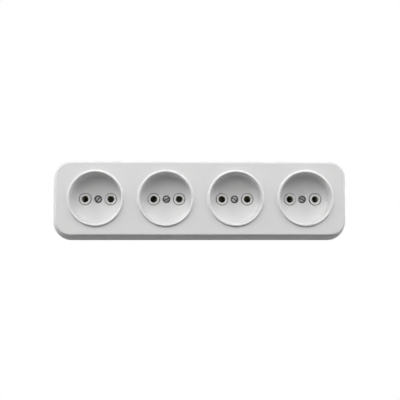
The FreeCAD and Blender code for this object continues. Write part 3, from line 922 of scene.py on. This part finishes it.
@dataclass
class ChamferedNut(Fastener):
    """A hexagon nut with chamfered corners and a threaded hole.

    Attributes:
        thread: The thread of the screw that it takes.
        flats: Width across its flats.
        play: Between its thread and the screw's.
        chamfer: Height of the chamfer at its corners.
        chamfer_inset: How far inside its flats the chamfer starts.
        chamfer_margin: How far outside its corners the form that cuts the chamfer ends.
        mouth: How much wider than the thread's crests the mouths of the hole are.
        mouth_run: How far the cone of a mouth runs to each side of the nut's face.
    """

    SIDES = 6
    CHAMFER_STEPS = 72
    MOUTH_STEPS = 48

    thread: Thread = Thread(radius=1.5, pitch=0.5)
    flats: float = 5.5
    play: float = 0.06
    chamfer: float = 0.35
    chamfer_inset: float = 0.05
    chamfer_margin: float = 0.05
    mouth: float = 0.25
    mouth_run: float = 0.5

    def form(self) -> Form:
        """The nut's form.

        Returns:
            The hexagon with its chamfers and its threaded hole.
        """
        form = combined(self.hexagon(), self.lens(), Cut.KEEP)
        hole = self.thread.rod(-self.length - PAST, PAST, self.play)
        form = combined(form, hole, Cut.TAKE)
        for end, inward in ((0.0, -1), (-self.length, 1)):
            form = combined(form, self.cone(end, inward), Cut.TAKE)
        return form

    @property
    def corner(self) -> float:
        """Distance of the corners from the axis."""
        return self.flats / math.sqrt(3)

    def hexagon(self) -> Form:
        """The plain hexagon.

        Returns:
            A closed form as tall as the nut.
        """
        form = bmesh.new()
        bmesh.ops.create_circle(form, cap_ends=True, segments=self.SIDES, radius=self.corner)
        turned(form, 180 / self.SIDES)
        grown = bmesh.ops.extrude_face_region(form, geom=form.faces[:])["geom"]
        points = [item for item in grown if isinstance(item, bmesh.types.BMVert)]
        bmesh.ops.translate(form, vec=(0.0, 0.0, -self.length), verts=points)
        bmesh.ops.recalc_face_normals(form, faces=form.faces)
        return form

    def lens(self) -> Form:
        """The form that the hexagon is kept to.

        Returns:
            A round form that is chamfered at both ends.
        """
        flat = self.flats / 2 - self.chamfer_inset
        outside = self.corner + self.chamfer_margin
        profile = (
            (0.0, 0.0), (flat, 0.0), (outside, -self.chamfer), (outside, self.chamfer - self.length),
            (flat, -self.length), (0.0, -self.length))
        return spun(profile, self.CHAMFER_STEPS)

    def cone(self, end: float, inward: int) -> Form:
        """The form that widens a mouth of the hole.

        Args:
            end: Height of the nut's face there.
            inward: The way into the nut, as a sign.

        Returns:
            A cone that narrows into the nut.
        """
        mouth = self.thread.radius + self.mouth
        outer = end - self.mouth_run * inward
        inner = end + self.mouth_run * inward
        profile = (
            (0.0, outer), (mouth + self.mouth_run, outer), (mouth - self.mouth_run, inner), (0.0, inner))
        return spun(profile, self.MOUTH_STEPS)


@dataclass
class Fasteners:
    """Every screw and nut of the socket.

    Attributes:
        wardrobe: Where their finish comes from.
        cover_angles: Turn of each cover screw's slot in degrees, from the left well to the right one.
        line_angle: Turn of the slot of the line's terminal screw.
        neutral_angle: Turn of the slot of the neutral's.
    """

    wardrobe: Wardrobe
    cover_angles: tuple[float, ...] = (50.0, 25.0, 145.0, 155.0)
    line_angle: float = 20.0
    neutral_angle: float = 105.0

    def build(self) -> None:
        """Build the cover screws, their nuts and the terminal screws."""
        for place, angle in enumerate(self.cover_angles, start=1):
            SlottedScrew(f"cover_screw_{place}", self.wardrobe, slot_angle=angle).build()
            ChamferedNut(f"cover_nut_{place}", self.wardrobe).build()
        TerminalScrew("terminal_screw_line", self.wardrobe, slot_angle=self.line_angle).build()
        TerminalScrew("terminal_screw_neutral", self.wardrobe, slot_angle=self.neutral_angle).build()


# Studio


def seen_directly(graph: Graph) -> Socket:
    """What only the camera and mirror images see.

    Args:
        graph: The graph of a material or of the world.

    Returns:
        A socket that is one for the camera and in mirror images, and nought for all other light.
    """
    path = graph.add("LightPath").outputs
    mirrored = graph.math("MAXIMUM", path["Is Glossy Ray"], path["Is Transmission Ray"])
    return graph.math("MAXIMUM", path["Is Camera Ray"], mirrored)


@dataclass(frozen=True)
class StudioPaper:
    """A plain pale paper, with its tones as shares of white.

    Attributes:
        name: Name of the paper.
        shown: Its tone to the camera and in mirror images.
        cast: Its tone to all other light.
        glow: Brightness that it has by itself to the camera.
    """

    CLOUD = Blotches(scale=6.0, detail=3.0, low=0.3, high=0.7)
    CLOUD_SHADE = 0.03
    ROUGHNESS = 0.9

    name: str
    shown: float
    cast: float
    glow: float

    def material(self) -> bpy.types.Material:
        """Build the material.

        Returns:
            The material.
        """
        material, graph, surface = new_material(self.name)
        seen = seen_directly(graph)
        cloud = graph.patches(graph.place(), self.CLOUD, 0.0, self.CLOUD_SHADE)
        shown = graph.mix(cloud, (self.shown,) * 3, BLACK)
        graph.feed(surface.inputs["Base Color"], graph.mix(seen, (self.cast,) * 3, shown))
        graph.feed(surface.inputs["Emission Strength"], graph.math("MULTIPLY", seen, self.glow))
        graph.feed(surface.inputs["Emission Color"], WHITE)
        surface.inputs["Roughness"].default_value = self.ROUGHNESS
        surface.inputs["Specular IOR Level"].default_value = 0.0
        return material


@dataclass(frozen=True)
class Lamp:
    """A soft rectangular lamp, in metres.

    Attributes:
        name: Name of the lamp.
        place: Where its middle stands.
        width: Its width along the row of wells.
        height: Its other side.
        power: Its power in watts.
        target: Where it looks.
    """

    name: str
    place: Point
    width: float
    height: float
    power: float
    target: Point = (0.0, -0.03, 0.0)

    def build(self) -> None:
        """Hang the lamp."""
        lamp = bpy.data.lights.new(self.name, "AREA")
        lamp.shape = "RECTANGLE"
        lamp.size = self.width
        lamp.size_y = self.height
        lamp.energy = self.power
        holder = bpy.data.objects.new(self.name, lamp)
        bpy.context.scene.collection.objects.link(holder)
        holder.location = self.place
        aim = Vector(self.target) - Vector(self.place)
        holder.rotation_euler = aim.to_track_quat("-Z", "Y").to_euler()


@dataclass
class Studio:
    """Floor, backdrop, light and camera, in metres.

    Attributes:
        floor_level: Height of the floor.
        floor_side: Side of the floor.
        floor_paper: What the floor is made of.
        backdrop_place: Distance of the backdrop behind the wall plane.
        backdrop_side: Side of the backdrop.
        backdrop_paper: What the backdrop is made of.
        lamps: The lamps.
        dome_pole: Direction of the middle of the soft dome of light.
        dome_edge: Share of that direction at which the dome starts, and at which it is full.
        dome_glow: Brightness outside the dome and in it.
        eye: Where the camera stands.
        yaw: Turn of the camera to the right, in degrees.
        pitch: Turn of the camera upward, in degrees.
        lens: Focal length in millimetres.
        sensor_width: Width of the sensor in millimetres.
        nearest: Distance from which the camera sees.
    """

    floor_level: float = -0.45
    floor_side: float = 12.0
    floor_paper: StudioPaper = StudioPaper("floor_paper", shown=0.66, cast=0.08, glow=0.3)
    backdrop_place: float = 0.7
    backdrop_side: float = 2.4
    backdrop_paper: StudioPaper = StudioPaper("backdrop_paper", shown=0.0, cast=0.70, glow=1.0)
    lamps: tuple[Lamp, ...] = (
        Lamp("key", place=(-0.22, -1.45, 1.10), width=1.8, height=1.5, power=20.0),
        Lamp("strip", place=(0.0, -0.30, 0.30), width=0.40, height=0.05, power=0.10),
        Lamp("left", place=(-1.04, -0.32, 0.54), width=0.8, height=0.8, power=8.8),
        Lamp("right", place=(1.04, -0.32, 0.48), width=0.8, height=0.8, power=7.8),
        Lamp("back", place=(0.0, 0.62, 0.04), width=0.6, height=0.06, power=1.1),
    )
    dome_pole: Point = (-0.10, -0.80, 0.59)
    dome_edge: tuple[float, float] = (-0.12, 0.22)
    dome_glow: tuple[float, float] = (0.02, 0.32)
    eye: Point = (-0.0091, -0.4474, -0.026)
    yaw: float = 1.17
    pitch: float = 3.42
    lens: float = 51.33
    sensor_width: float = 36.0
    nearest: float = 0.01

    def build(self) -> None:
        """Build the floor, the backdrop, the lamps, the sky and the camera."""
        floor = self.sheet("floor", self.floor_side, self.floor_paper)
        floor.data.transform(Matrix.Translation((0.0, 0.0, self.floor_level)))
        backdrop = self.sheet("backdrop", self.backdrop_side, self.backdrop_paper)
        upright = Matrix.Rotation(math.radians(90), 4, "X")
        level = self.floor_level + self.backdrop_side / 2
        backdrop.data.transform(Matrix.Translation((0.0, self.backdrop_place, level)) @ upright)
        for lamp in self.lamps:
            lamp.build()
        self.build_sky()
        self.build_camera()
        LOG.info("built the studio with %d lamps", len(self.lamps))

    def sheet(self, name: str, side: float, paper: StudioPaper) -> bpy.types.Object:
        """A flat square sheet of paper about the middle of the scene.

        Args:
            name: Name of the sheet.
            side: Length of its sides.
            paper: What it is made of.

        Returns:
            The sheet, which isn't part of the socket.
        """
        form = bmesh.new()
        bmesh.ops.create_grid(form, x_segments=1, y_segments=1, size=side / 2)
        mesh = bpy.data.meshes.new(name)
        form.to_mesh(mesh)
        form.free()
        mesh.materials.append(paper.material())
        sheet = bpy.data.objects.new(name, mesh)
        bpy.context.scene.collection.objects.link(sheet)
        return sheet

    def build_sky(self) -> None:
        """White to the camera and in mirror images, and a soft dome of light to all else."""
        world = bpy.data.worlds.new("studio")
        world.use_nodes = True
        graph = Graph(world.node_tree)
        seen = seen_directly(graph)
        outward = graph.add("TexCoord").outputs["Generated"]
        product = graph.add("VectorMath", {0: outward, 1: self.dome_pole}, operation="DOT_PRODUCT")
        glow = graph.span(product.outputs["Value"], *self.dome_edge, *self.dome_glow)
        unseen = graph.math("SUBTRACT", 1.0, seen)
        background = world.node_tree.nodes["Background"]
        graph.feed(background.inputs["Color"], WHITE)
        graph.feed(background.inputs["Strength"], graph.math("MULTIPLY_ADD", unseen, glow, seen))
        bpy.context.scene.world = world

    def build_camera(self) -> None:
        """The camera at the photograph's viewing angle."""
        lens = bpy.data.cameras.new("camera")
        lens.lens = self.lens
        lens.sensor_width = self.sensor_width
        lens.clip_start = self.nearest
        camera = bpy.data.objects.new("camera", lens)
        bpy.context.scene.collection.objects.link(camera)
        camera.location = self.eye
        camera.rotation_euler = (math.radians(90 + self.pitch), 0.0, math.radians(-self.yaw))
        bpy.context.scene.camera = camera


def main() -> None:
    """Dress the nodes, build the fasteners and set up the studio."""
    logging.basicConfig(level=logging.INFO, format="%(name)s: %(message)s")
    bpy.context.scene.view_settings.view_transform = "Standard"
    wardrobe = Wardrobe()
    wardrobe.dress_nodes()
    Fasteners(wardrobe).build()
    Studio().build()


if __name__ == "__main__":
    main()
